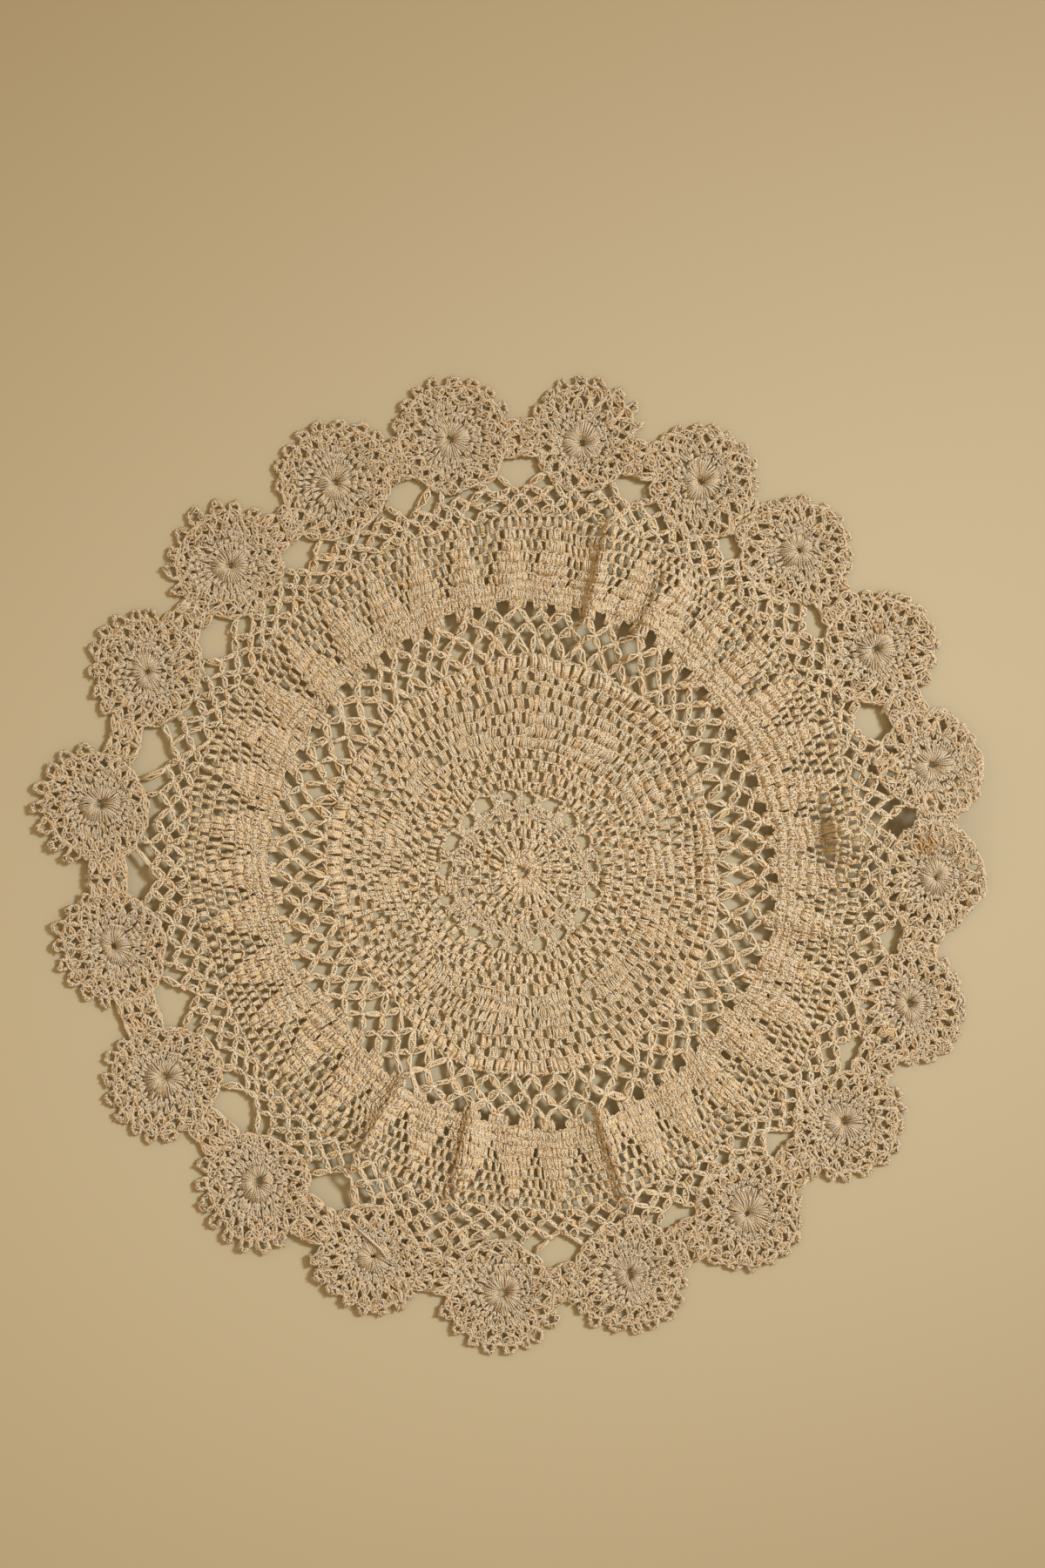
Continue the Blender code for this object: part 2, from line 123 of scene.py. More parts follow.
# Rosettes: centre x, centre y, disc radius, hole radius, picot radius.
ROSETTES = np.array([
    (-24.7, 185.8, 14.6, 2.2, 27.2), (32.3, 185.8, 13.2, 1.8, 26.8), (83.6, 166.8, 13.4, 1.9, 25.8),
    (124.6, 135.7, 13.6, 1.6, 25.6), (160.4, 93.5, 13.6, 2.3, 26.2), (183.5, 43.7, 13.0, 2.0, 23.8),
    (184.3, -6.1, 12.8, 1.7, 22.8), (174.0, -61.9, 13.0, 2.5, 26.0), (146.3, -112.1, 13.6, 2.1, 26.2),
    (103.7, -151.2, 13.4, 2.1, 26.4), (52.1, -178.6, 14.2, 2.7, 27.6), (-3.8, -187.0, 14.8, 2.6, 27.4),
    (-60.0, -171.0, 13.0, 1.8, 26.6), (-110.2, -139.8, 15.4, 2.3, 28.6), (-150.1, -93.5, 14.4, 2.1, 27.6),
    (-171.8, -36.1, 14.4, 1.9, 28.2), (-179.4, 25.1, 14.4, 2.2, 28.4), (-157.7, 84.0, 14.4, 2.2, 27.6),
    (-122.0, 129.6, 15.8, 2.2, 28.6), (-76.0, 166.1, 15.4, 2.2, 27.8),
])
# The rosette whose gap to the next one is drawn shut, and how far each one's lace reaches.
CLOSED_PAIR = 12
LACE_REACH = 23.7
# A rosette swells to two sides by a share in this range.
SWELL = (0.01, 0.035)

# Cross-sections, across and over, as shares of the radius: a thread, which smooth shading makes
# round, and the flat ground of matted thread that the stitches stand on.
STITCH, GROUND = 0, 1
SECTIONS = (
    ((0, 0.9), (-1.08, -0.3), (1.08, -0.3)),
    ((-1, 0.15), (0, -0.8), (1, 0.15)),
)
# How far the middle of the lace stands off what it lies on, and the lowest any thread gets.
STAND = 0.75
LEAST_HEIGHT = 0.02

# Strands of a double crochet: across its slot, along its row, height in millimetres.
POST = (
    ((-0.24, -0.1, 0.7), (-0.32, 0.32, 1.15), (-0.16, 0.98, 1.05)),
    ((0.24, -0.06, 0.75), (0.16, 0.66, 1.2), (0.3, 1.04, 0.8)),
    ((-0.46, 0.36, 0.85), (0.0, 0.46, 1.45), (0.42, 0.64, 0.9)),
)
CROSSED_POST = (
    ((-0.32, -0.1, 0.65), (0.02, 0.56, 1.2), (0.3, 0.98, 1.05)),
    ((0.32, -0.06, 0.7), (0.32, 0.4, 1.15), (-0.26, 1.04, 0.8)),
    ((-0.48, 0.66, 0.8), (-0.05, 0.44, 1.4), (0.4, 0.24, 0.9)),
)
# Share of the stitches that cross.
CROSSED_SHARE = 0.5
DOTTED_POST = (
    ((-0.08, -0.05, 0.85), (-0.26, 0.45, 1.15), (-0.3, 1.02, 1.1)),
    ((0.1, -0.05, 0.85), (0.22, 0.5, 1.15), (0.3, 1.02, 0.95)),
    ((-0.38, 0.62, 0.85), (0.02, 0.74, 1.4), (0.38, 0.58, 0.9)),
)
# Strands of a single crochet, in the same units.
SHORT_POST = (
    ((-0.03, -0.1, 0.9), (-0.26, 0.56, 1.2), (-0.32, 1.04, 1.0)),
    ((0.05, -0.1, 0.85), (0.24, 0.6, 1.1), (0.32, 1.04, 1.1)),
)
TOP = (
    ((-0.6, 0.98, 0.75), (-0.08, 0.84, 1.4), (0.6, 1.1, 0.8)),
)
BRIDGE = (
    ((-0.66, 0.96, 0.75), (-0.25, 0.88, 1.25), (0.25, 0.93, 1.2), (0.64, 1.04, 0.8)),
    ((-0.6, 1.06, 0.6), (-0.15, 1.1, 0.9), (0.3, 1.06, 1.15), (0.66, 0.98, 0.7)),
)
# Strands of a leg between two knots: along it, across in half widths, height in millimetres.
LEG = (
    ((-0.1, 0.6, 0.65), (0.3, -0.9, 1.1), (0.7, -0.85, 1.1), (1.1, 0.6, 0.7)),
    ((-0.1, -0.6, 0.7), (0.26, 0.85, 1.1), (0.66, 0.95, 1.0), (1.1, -0.6, 0.65)),
    ((0.0, 0.9, 1.05), (0.36, -0.9, 1.45), (0.62, 0.9, 1.45), (0.98, -0.8, 1.1)),
)
# Two short strands that cross over a knot: along, across and height in millimetres.
KNOT = (
    ((-1.45, -0.55, 0.8), (0.0, 0.35, 1.55), (1.4, -0.3, 0.85)),
    ((-1.2, 0.75, 0.8), (0.1, -0.45, 1.35), (1.3, 0.65, 0.8)),
)
# Half widths of the thread: the most, the least, its share of a slot, and in a leg.
THREAD = 0.4
THINNEST = 0.26
THREAD_SHARE = 0.225
LEG_THREAD = 0.54
# The ground under a double crochet, under a chain across an open slot, and under a leg, each
# with its half widths: shares of the slot, then millimetres.
# The ground lies low, so it also takes more painted shade.
POST_GROUND = (((0.0, -0.06, 0.8), (0.0, 0.5, 0.9), (0.0, 1.04, 0.8)),)
DENSE_HALF = np.array((0.52, 0.46, 0.52))
DOTTED_HALF = np.array((0.14, 0.44, 0.56))
BRIDGE_GROUND = (((-0.58, 0.97, 0.75), (0.0, 0.96, 0.85), (0.58, 0.97, 0.75)),)
BRIDGE_HALF = 0.42
LEG_GROUND = (((-0.06, 0.0, 0.65), (0.5, 0.0, 0.8), (1.06, 0.0, 0.65)),)
LEG_HALF = np.array((0.85, 1.0, 0.85))
# Shares of a leg's half width and of its thread that its ground takes, the range of its width,
# and how far its middle strays.
LEG_WIDTH_SHARE, LEG_THREAD_SHARE = 0.8, 0.4
LEG_SPREAD = (0.75, 1.3)
LEG_BOW = 0.45
# A small part of a turn, which gives the direction of a round.
KNOT_STEP = 0.001

# Spread of the random shifts: of a stitch's points and of the ground's, of a stitch as a share
# of its slot, and of its feet and top off their round.
LOOSE = 0.2
LOOSE_GROUND = 0.05
UNEVEN = 0.08
LOOSE_ROW = 0.35
# Share of the stitches that show their top in a dotted round and in single crochet, share of
# its thread that a dotted stitch keeps, and the most for a chain across an open slot.
DOTTED_TOPS = 0.9
SHORT_TOPS = 0.3
DOTTED_THREAD = 0.9
BRIDGE_THREAD = 0.36
# Millimetres by which the twist starts later from strand to strand, and where that starts over.
TWIST_STEP, TWIST_LAP = 0.37, 1.9


def ring(column, angle, table=RINGS):
    """Value of one table column at an angle, straight between the rows."""
    return np.interp(angle, table[:, 0], table[:, column], period=360)


def ease(value):
    """Smooth step: 3 t squared less 2 t cubed, with t held between 0 and 1."""
    t = np.clip(value, 0, 1)
    return t * t * (3 - 2 * t)


def stitch_turns():
    """Angles against turns: stitches crowd with the square of the band's middle radius."""
    a = np.linspace(0, 360, ANGLE_STEPS)
    weight = ((ring(FIRST, a) + ring(BAND, a)) / 2) ** 2
    turn = np.append(0, np.cumsum((weight[1:] + weight[:-1]) / 2))
    turn /= turn[-1]
    return a, turn, np.interp(REPEAT_START, a, turn)


TURN_ANGLES, TURN_SHARE, TURN_START = stitch_turns()


def at_turn(turn):
    """Angle of a share of a turn, counted from the first repeat of the band."""
    whole = np.floor(turn + TURN_START)
    return np.interp(turn + TURN_START - whole, TURN_SHARE, TURN_ANGLES) + 360 * whole


def turn_of(angle):
    """Share of a turn at an angle."""
    return np.interp(np.mod(angle, 360), TURN_ANGLES, TURN_SHARE) - TURN_START


def paced(marks):
    """A function from turns to angles that meets every mark at an even share of a turn."""
    wrapped = np.append(marks, marks[0] + 360)
    steps = np.arange(len(wrapped)) / len(marks)

    def angle_at(turn):
        whole = np.floor(turn)
        return np.interp(turn - whole, steps, wrapped) + 360 * whole

    return angle_at


AT_EYELET = paced(EYELETS)
AT_STAR = paced(STAR_PATCHES)


def polar(angle, radius, middle=CENTRE):
    """The place at an angle and a radius about a middle."""
    a = np.radians(angle)
    return np.stack([middle[0] + radius * np.cos(a), middle[1] + radius * np.sin(a)], axis=-1)


def around(points):
    """Radius and angle of places about the medallion's centre."""
    x, y = points[..., 0] - CENTRE[0], points[..., 1] - CENTRE[1]
    return np.hypot(x, y), np.mod(np.degrees(np.arctan2(y, x)), 360)


def folds_at(angle, radius):
    """Each crease is a bell across its angle, eased in and out along its radius."""
    total = 0
    for crest, clockwise, counter, height, inner, outer in FOLDS:
        off = np.mod(angle - crest + 180, 360) - 180
        side = np.exp(-((off / np.where(off < 0, clockwise, counter)) ** 2))
        run = ease((radius - inner) / FOLD_RUN + 1) * ease((outer - radius) / FOLD_RUN + 1)
        total = total + height * side * run
    return total


def lift_at(points):
    """Underside of the lace above the table: ring lifts eased along the radius, a cosine pleat
    for each repeat of the band, and the creases."""
    radius, angle = around(points)
    edge, first, band = ring(EDGE, angle), ring(FIRST, angle), ring(BAND, angle)
    stops = (FLAT_SHARE * edge, edge, first, band, band + NET_DEPTH, band + BORDER_DEPTH)
    lifts = [0] + [ring(column, angle, LIFTS) for column in range(1, len(stops))]
    total = 0
    for near, far, low, high in zip(stops, stops[1:], lifts, lifts[1:]):
        total = total + (high - low) * ease((radius - near) / (far - near))
    pleat = 0.5 - 0.5 * np.cos(2 * math.pi * REPEATS * turn_of(angle))
    rise = ease((radius - first) / PLEAT_RISE + 0.5) * ease((band - radius) / PLEAT_RISE)
    return total + PLEAT * pleat * rise + folds_at(angle, radius)


# Hand-made unevenness: wavelength and amplitude in millimetres.
WARPS = ((60, 1.0), (24, 0.6), (10, 0.55), (5, 0.3))
WARP_WAVES = 5


def warped(points):
    """Shifts places by a sum of slow sine waves that run in random directions."""
    rng = np.random.default_rng(SEED)
    flat = points[..., :2]
    shift = np.zeros(flat.shape)
    for length, amplitude in WARPS:
        for _ in range(WARP_WAVES):
            a, start = rng.uniform(0, 2 * math.pi, 2)
            push = rng.normal(0, amplitude / math.sqrt(WARP_WAVES), 2)
            run = (flat[..., 0] * math.cos(a) + flat[..., 1] * math.sin(a)) * 2 * math.pi / length
            shift += np.sin(run + start)[..., None] * push
    made = points.copy()
    made[..., :2] += shift
    return made


# Zones: each maps a turn and a depth to a place on the table.

def medallion_spot(pace):
    """Radius is the depth, stretched towards the uneven edge outside the inner rounds."""
    def spot(turn, depth):
        angle = pace(turn)
        uneven = ring(EDGE, angle) / MEDALLION_MEAN - 1
        stretch = ease((depth / MEDALLION_MEAN - ROUND_SHARE) / (1 - ROUND_SHARE))
        return polar(angle, depth * (1 + uneven * stretch))
    return spot


def between(low, high):
    """Depth runs from 0 on one ring to 1 on another."""
    def spot(turn, depth):
        angle = at_turn(turn)
        inner, outer = ring(low, angle), ring(high, angle)
        return polar(angle, inner + depth * (outer - inner))
    return spot


TRELLIS_SPOT = between(EDGE, FIRST)
BAND_SPOT = between(FIRST, BAND)


def bearings():
    """The rosettes' order round the doily and the direction of each from the middle."""
    angle = around(ROSETTES)[1]
    order = np.argsort(angle)
    return order, angle[order]


ORDER, BEARINGS = bearings()
AT_ROSETTE = paced(BEARINGS)


def net_spot(turn, depth):
    """Turns step from rosette to rosette, and depth is the height over the band's edge."""
    angle = AT_ROSETTE(turn)
    return polar(angle, ring(BAND, angle) + depth)


def rosette_spot(k, rng):
    """Turn 0 points outwards; the radius swells a little to two sides."""
    swell, lean = rng.uniform(*SWELL), rng.uniform(0, 2 * math.pi)

    def spot(turn, depth):
        angle = 360 * turn + BEARINGS[k]
        far = depth * (1 + swell * np.cos(2 * np.radians(angle) + lean))
        return polar(angle, far, ROSETTES[ORDER[k], :2])
    return spot


# Threads: a bundle is (paths, radius, tone, layer), with paths as strands x points x 3.
UP = (0.0, 0.0, 1.0)


def scattered(flat, shape, rng, loose):
    """Paths at these places and the strands' own heights, every point shifted a little at
    random."""
    flat = flat + rng.normal(0, loose, flat.shape)
    height = shape[..., 2] + rng.normal(0, loose, flat.shape[:-1])
    return np.concatenate([flat, height[..., None]], axis=-1).reshape(-1, shape.shape[1], 3)


def strands(spot, turn, width, low, high, template, rng, loose):
    """Each template strand goes to turn + across * width and low + along * (high - low), at its
    own height over the lace. Half of the stitches are mirrored."""
    shape = np.asarray(template, float)
    low, rise = (np.broadcast_to(v, turn.shape)[:, None, None] for v in (low, high - low))
    mirror = np.where(rng.uniform(size=(len(turn), 1, 1)) < 0.5, -1, 1)
    across = shape[..., 0] * mirror * width + turn[:, None, None]
    flat = spot(across, low + shape[..., 1] * rise)
    paths = scattered(flat, shape, rng, loose)
    return paths, np.repeat(rng.uniform(0, 1, len(turn)), len(shape))


def crochet_row(spot, slots, low, high, filled, rng, phase=0.0, dotted=False, wall=1.0, short=False):
    """One round: slot i is centred on turn (i + phase) / slots. A filled slot is a double
    crochet that takes the wall's share of it, and an empty one keeps only the chain across its
    top. The thread is pulled thinner where the slots are narrow. A dotted round leaves small
    gaps between its stitches, and a short one is single crochet."""
    turn = (np.arange(slots) + phase + rng.normal(0, UNEVEN, slots)) / slots
    width = 1 / slots
    tall = np.linalg.norm(spot(turn, high) - spot(turn, low), axis=1).mean()
    across = spot(turn + width / 2, high) - spot(turn - width / 2, high)
    slot = np.linalg.norm(across, axis=1).mean()
    radius = np.clip(THREAD_SHARE * slot, THINNEST, THREAD)
    filled = np.broadcast_to(filled, slots)
    chance = rng.uniform(size=slots)
    tops = SHORT_TOPS if short else DOTTED_TOPS if dotted else 1
    topped = filled & (rng.uniform(size=slots) < tops)
    if dotted:
        posts = ((SHORT_POST if short else DOTTED_POST, filled, DOTTED_THREAD * radius, STITCH),
                 (POST_GROUND, filled, DOTTED_HALF * slot * wall, GROUND))
    else:
        posts = ((POST, filled & (chance >= CROSSED_SHARE), radius, STITCH),
                 (CROSSED_POST, filled & (chance < CROSSED_SHARE), radius, STITCH),
                 (POST_GROUND, filled, DENSE_HALF * slot * wall, GROUND))
    chains = ((TOP, topped, radius, STITCH),
              (BRIDGE, ~filled, min(radius, BRIDGE_THREAD), STITCH),
              (BRIDGE_GROUND, ~filled, BRIDGE_HALF, GROUND))
    bundles = []
    stray = rng.normal(0, LOOSE_ROW, slots) * (high - low) / tall
    for parts, share in ((posts, wall), (chains, 1)):
        for template, chosen, half, layer in parts:
            loose = LOOSE if layer == STITCH else LOOSE_GROUND
            paths, tone = strands(spot, turn[chosen], share * width, low + stray[chosen],
                                  high + stray[chosen], template, rng, loose)
            bundles.append((paths, half, tone, layer))
    return bundles


def unit(vectors):
    """The same directions, each one unit long."""
    return vectors / np.maximum(np.linalg.norm(vectors, axis=-1, keepdims=True), TINY)


def square_to(ahead):
    """Level directions at a right angle to these, one unit long, to their left."""
    return unit(np.stack([-ahead[:, 1], ahead[:, 0]], axis=-1))


def aligned(place, ahead, side, along, across):
    """Points at place + along * ahead + across * side for every strand."""
    return (place[:, None, None] + ahead[:, None, None] * along[..., None]
            + side[:, None, None] * across[..., None])


def leg(start, end, width, rng):
    """Three strands from start to end that spread to the half width on the way, on a flat
    ground that swells with them. The whole leg bows to a side by 4 t (1 - t) of its bow."""
    count = len(start)
    mirror = np.where(rng.uniform(size=(count, 1, 1)) < 0.5, -1, 1)
    half = width * rng.uniform(*LEG_SPREAD, (count, 1, 1)) * mirror
    bow = rng.normal(0, LEG_BOW, (count, 1, 1))
    ground = LEG_HALF * (LEG_WIDTH_SHARE * width + LEG_THREAD_SHARE * LEG_THREAD)
    bundles = []
    for template, reach, layer, loose in ((LEG, LEG_THREAD, STITCH, LOOSE),
                                          (LEG_GROUND, ground, GROUND, LOOSE_GROUND)):
        shape = np.asarray(template, float)
        t = shape[..., 0]
        across = shape[..., 1] * half + 4 * t * (1 - t) * bow
        flat = aligned(start, end - start, square_to(end - start), t, across)
        paths = scattered(flat, shape, rng, loose)
        bundles.append((paths, reach, rng.uniform(0, 1, len(paths)), layer))
    return bundles


def knots(spot, turn, depth, rng):
    """Two short strands over each knot, which run round the zone."""
    place = spot(turn, depth)
    ahead = spot(turn + KNOT_STEP, depth) - place
    side = square_to(ahead) * rng.choice((-1, 1), (len(turn), 1))
    shape = np.asarray(KNOT, float)
    flat = aligned(place, unit(ahead), side, shape[..., 0], shape[..., 1])
    paths = scattered(flat, shape, rng, LOOSE)
    return [(paths, LEG_THREAD, rng.uniform(0, 1, len(paths)), STITCH)]


def tube(paths, radius, section):
    """A thread carries its cross-section along its path: corner = point + radius * (across *
    side + over * up), where side is level and square to the path."""
    along = unit(np.gradient(paths, axis=1))
    across = unit(np.cross(along, UP))
    over = np.cross(across, along)
    shape = np.asarray(section, float)
    corners = across[:, :, None] * shape[:, 0:1] + over[:, :, None] * shape[:, 1:2]
    reach = np.broadcast_to(radius, paths.shape[:2])[:, :, None, None]
    return paths[:, :, None] + reach * corners


def tube_faces(paths, sides, start):
    """Corner numbers of the side faces and of the end caps, and the thread map: millimetres
    along the strand, share of a turn round it."""
    count, points = paths.shape[:2]
    steps = np.linalg.norm(np.diff(paths, axis=1), axis=-1)
    along = np.cumsum(np.pad(steps, ((0, 0), (1, 0))), axis=1)
    along += (np.arange(count) * TWIST_STEP % TWIST_LAP)[:, None]
    base = (start + np.arange(count) * points * sides)[:, None, None]
    p = np.arange(points - 1)[None, :, None]
    k = np.arange(sides)[None, None, :]
    after = (k + 1) % sides
    quads = np.stack([base + p * sides + k, base + p * sides + after,
                      base + (p + 1) * sides + after, base + (p + 1) * sides + k], axis=-1)
    near, far = (np.broadcast_to(part[..., None], quads.shape[:3])
                 for part in (along[:, :-1], along[:, 1:]))
    turn = np.broadcast_to(np.stack([k, k + 1, k + 1, k], axis=-1) / sides, quads.shape)
    uv = np.stack([np.stack([near, near, far, far], axis=-1), turn], axis=-1)
    ends = base[:, 0, 0][:, None]
    first = ends + np.arange(sides)[::-1]
    last = ends + (points - 1) * sides + np.arange(sides)
    return quads.reshape(-1, 4), uv.reshape(-1, 4, 2), np.concatenate([first, last])


def added(name, data):
    """A new object in the scene."""
    obj = bpy.data.objects.new(name, data)
    bpy.context.scene.collection.objects.link(obj)
    return obj


def knit(name, bundles, layer):
    """The bundles of one layer as one closed mesh, with a thread map and each strand's tone
    and depth, the height that sets how much painted shade it takes."""
    parts, start = [], 0
    for paths, radius, tone, kind in bundles:
        if kind != layer or not len(paths):
            continue
        lifted = warped(paths)
        lifted[..., 2] += STAND + lift_at(lifted)
        body = tube(lifted, radius, SECTIONS[layer])
        count, points, sides = body.shape[:3]
        parts.append((body.reshape(-1, 3), *tube_faces(lifted, sides, start),
                      np.repeat(tone, points * sides), np.repeat(paths[..., 2], sides)))
        start += count * points * sides
    vertices, quads, maps, caps, tones, painted_shade_heights = map(np.concatenate, zip(*parts))
    vertices[:, 2] = np.maximum(vertices[:, 2], LEAST_HEIGHT)
    corner = np.concatenate([quads.reshape(-1), caps.reshape(-1)]).astype(np.int32)
    starts = np.concatenate([np.arange(len(quads)) * 4,
                             len(quads) * 4 + np.arange(len(caps)) * caps.shape[1]])
    mesh = bpy.data.meshes.new(name)
    mesh.vertices.add(len(vertices))
    mesh.vertices.foreach_set("co", (vertices * MM).astype(np.float32).reshape(-1))
    mesh.loops.add(len(corner))
    mesh.loops.foreach_set("vertex_index", corner)
    mesh.polygons.add(len(starts))
    mesh.polygons.foreach_set("loop_start", starts.astype(np.int32))
    mesh.polygons.foreach_set("use_smooth", np.ones(len(starts), bool))
    mesh.update(calc_edges=True)
    uv = np.concatenate([maps.reshape(-1, 2), np.zeros((caps.size, 2))]).astype(np.float32)
    mesh.uv_layers.new(name="thread").data.foreach_set("uv", uv.reshape(-1))
    # The depth attribute sets how much painted shade each strand gets.
    for label, values in (("tone", tones), ("depth", painted_shade_heights)):
        marks = mesh.attributes.new(label, "FLOAT", "POINT")
        marks.data.foreach_set("value", values.astype(np.float32))
    return added(name, mesh)


def fanned(spot, fans, low, high, tight):
    """Turns draw together towards the middle of their fan, to a share tight of it at the low
    depth, and open out to all of it at the high depth."""
    def fan(turn, depth):
        middle = (np.floor(turn * fans) + 0.5) / fans
        open_out = tight + (1 - tight) * np.clip((depth - low) / (high - low), 0, 1)
        return spot(middle + (turn - middle) * open_out, depth)
    return fan


def held_open(slots, every):
    """True for each filled slot, where one slot in every so many is left open."""
    return np.arange(slots) % every != 0


def spaced_holes(slots, per_repeat, holes, step, middle=0):
    """True for each filled slot, where each repeat has holes spaced by step about its middle."""
    filled = np.ones(slots, bool)
    first = np.arange(0, slots, per_repeat)[:, None] + middle
    holes = first + step * (np.arange(holes) - (holes - 1) / 2)
    filled[np.floor(holes).astype(int) % slots] = False
    return filled


# Rounds inside the eyelets: slots, inner and outer radius, and one slot in how many open, if any.
CORE_ROUNDS = ((22, 2.9, 6.2, 0), (32, 6.2, 9.8, 0), (57, 9.8, 14.8, 3), (66, 14.8, 18.7, 3),
               (69, 18.7, 22.8, 3))
# Shells against the eyelets: slots to each, radii, and how tight they are drawn at their foot.
SHELL_SLOTS = 8
SHELL_DEPTHS = (22.8, 25.2, 27.6, 29.8)
SHELL_TIGHT = 0.7
# Stitches between two eyelets: radii, and how many slots from the middle they reach.
BRIDGE_DEPTHS = (29.6, 32.4, 35.2)
BRIDGE_REACH = 1
# Eyelets: radius of their ring and of each hole, width of its rim, stitches round it, how much
# the holes vary, and the one that is pulled nearly shut.
EYELET_RING, EYELET_SIZE, EYELET_RIM, EYELET_SLOTS = 31.9, 3.7, 1.2, 15
EYELET_SPREAD = (0.88, 1.08)
CLOSED_EYELET, CLOSED_SHARE = 11, 0.35
# Open rounds outside them: slots, radii, one slot in how many open, and slots of stagger.
MESH_SLOTS = 159
MESH_DEPTHS = (36.4, 40.8, 45.2, 49.6, 53.9)
MESH_OPEN = 3
MESH_STAGGER = 1.5
# Star: slots to each patch, then its rounds as inner and outer radius, holes between two
# patches, and the holes' shift in slots. The heart takes the first few. Then slots from hole to
# hole, and how much of its slot a stitch fills.
STAR_SLOTS = 18
STAR_ROUNDS = ((53.9, 58.5, 2, 0), (58.5, 63.2, 3, 0), (63.2, 68.0, 4, 0),
               (68.0, 72.9, 5, 0), (72.9, 77.7, 6, 0), (77.7, 82.3, 6, 1.5))
STAR_SPLIT = 2
STAR_STEP = 3
STAR_WALL = 1.12
# The medallion's last round is drawn together in pairs.
EDGE_ROUND = (82.3, 88.2)
EDGE_DRAW = 0.68


def posts_only(bundles):
    """Leaves out the chains across open slots."""
    return bundles[:-2]


def star_rounds(rounds, rng):
    """Rounds of double crochet with evenly spaced holes between the patches."""
    spot = medallion_spot(AT_STAR)
    slots = STAR_SLOTS * len(STAR_PATCHES)
    bundles = []
    for low, high, holes, shift in rounds:
        filled = spaced_holes(slots, STAR_SLOTS, holes, STAR_STEP, STAR_SLOTS // 2 + shift)
        bundles += crochet_row(spot, slots, low, high, filled, rng, dotted=True, wall=STAR_WALL)
    return bundles


def medallion_heart(rng):
    """Rounds from the centre hole to the middle of the star."""
    even = medallion_spot(lambda turn: 360 * turn)
    eyelet = medallion_spot(AT_EYELET)
    bundles = []
    for slots, low, high, every in CORE_ROUNDS:
        filled = held_open(slots, every) if every else True
        bundles += crochet_row(even, slots, low, high, filled, rng, phase=rng.uniform())
    slots = SHELL_SLOTS * len(EYELETS)
    shell = fanned(eyelet, len(EYELETS), SHELL_DEPTHS[0], SHELL_DEPTHS[-1], SHELL_TIGHT)
    for low, high in zip(SHELL_DEPTHS, SHELL_DEPTHS[1:]):
        bundles += crochet_row(shell, slots, low, high, held_open(slots, SHELL_SLOTS), rng)
    bridge = np.abs(np.mod(np.arange(slots), SHELL_SLOTS) - SHELL_SLOTS / 2) <= BRIDGE_REACH
    for low, high in zip(BRIDGE_DEPTHS, BRIDGE_DEPTHS[1:]):
        bundles += posts_only(crochet_row(eyelet, slots, low, high, bridge, rng))
    for k in range(len(EYELETS)):
        share = CLOSED_SHARE if k == CLOSED_EYELET else rng.uniform(*EYELET_SPREAD)
        size = share * EYELET_SIZE
        middle = eyelet(k / len(EYELETS), EYELET_RING)
        bundles += crochet_row(lambda turn, depth: polar(360 * turn, depth, middle),
                               EYELET_SLOTS, size + EYELET_RIM, size, True, rng)
    mesh = held_open(MESH_SLOTS, MESH_OPEN)
    for row, (low, high) in enumerate(zip(MESH_DEPTHS, MESH_DEPTHS[1:])):
        bundles += crochet_row(even, MESH_SLOTS, low, high, mesh, rng, phase=MESH_STAGGER * row)
    return bundles + star_rounds(STAR_ROUNDS[:STAR_SPLIT], rng)


# Trellis knots: shift round the loop, depth from the medallion's edge to the band's first round.
TRELLIS_LOOPS = 60
TRELLIS_PHASE = 0.06
TRELLIS_KNOTS = ((0.0, 0.0), (0.5, 0.37), (0.0, 0.64), (0.5, 0.91))
# A curl of thread caught in the trellis, as two legs.
PUFF = (((-51.6, 74.6), (-45.4, 73.4)), ((-51.2, 75.0), (-45.0, 74.0)))
PUFF_WIDTH = 1.1
# Half widths of the legs in the trellis, the rosettes' lace and the outer net.
LEG_WIDTH = 1.1
LACE_WIDTH = 0.95
NET_WIDTH = 1.05


def legs(spot, low_turn, low_depth, high_turn, high_depth, rng, width=LEG_WIDTH):
    """Legs from each low knot to its high knot."""
    return leg(spot(low_turn, low_depth), spot(high_turn, high_depth), width, rng)


def trellis(rng):
    """Three staggered rows of chain legs between knots on four rounds."""
    loop = (np.arange(TRELLIS_LOOPS) + TRELLIS_PHASE) / TRELLIS_LOOPS
    half = 0.5 / TRELLIS_LOOPS
    bundles = []
    for (shift, low), (_, high) in zip(TRELLIS_KNOTS, TRELLIS_KNOTS[1:]):
        knot = loop + shift / TRELLIS_LOOPS
        for side in (-half, half):
            bundles += legs(TRELLIS_SPOT, knot, low, knot + side, high, rng)
    for start, end in PUFF:
        bundles += leg(np.array([start]), np.array([end]), PUFF_WIDTH, rng)
    for shift, depth in TRELLIS_KNOTS:
        bundles += knots(TRELLIS_SPOT, loop + shift / TRELLIS_LOOPS, depth, rng)
    return bundles


def medallion_rim(rng):
    """The star's outer rounds, the round of pairs at its edge, and the trellis round them. The
    pairs lie under their fans' low depth, so that all of each is drawn together."""
    slots = STAR_SLOTS * len(STAR_PATCHES)
    low, high = EDGE_ROUND
    pairs = fanned(medallion_spot(AT_STAR), slots // 2, high, 2 * high, EDGE_DRAW)
    edge = crochet_row(pairs, slots, low, high, True, rng, phase=0.5)
    return star_rounds(STAR_ROUNDS[STAR_SPLIT:], rng) + edge + trellis(rng)


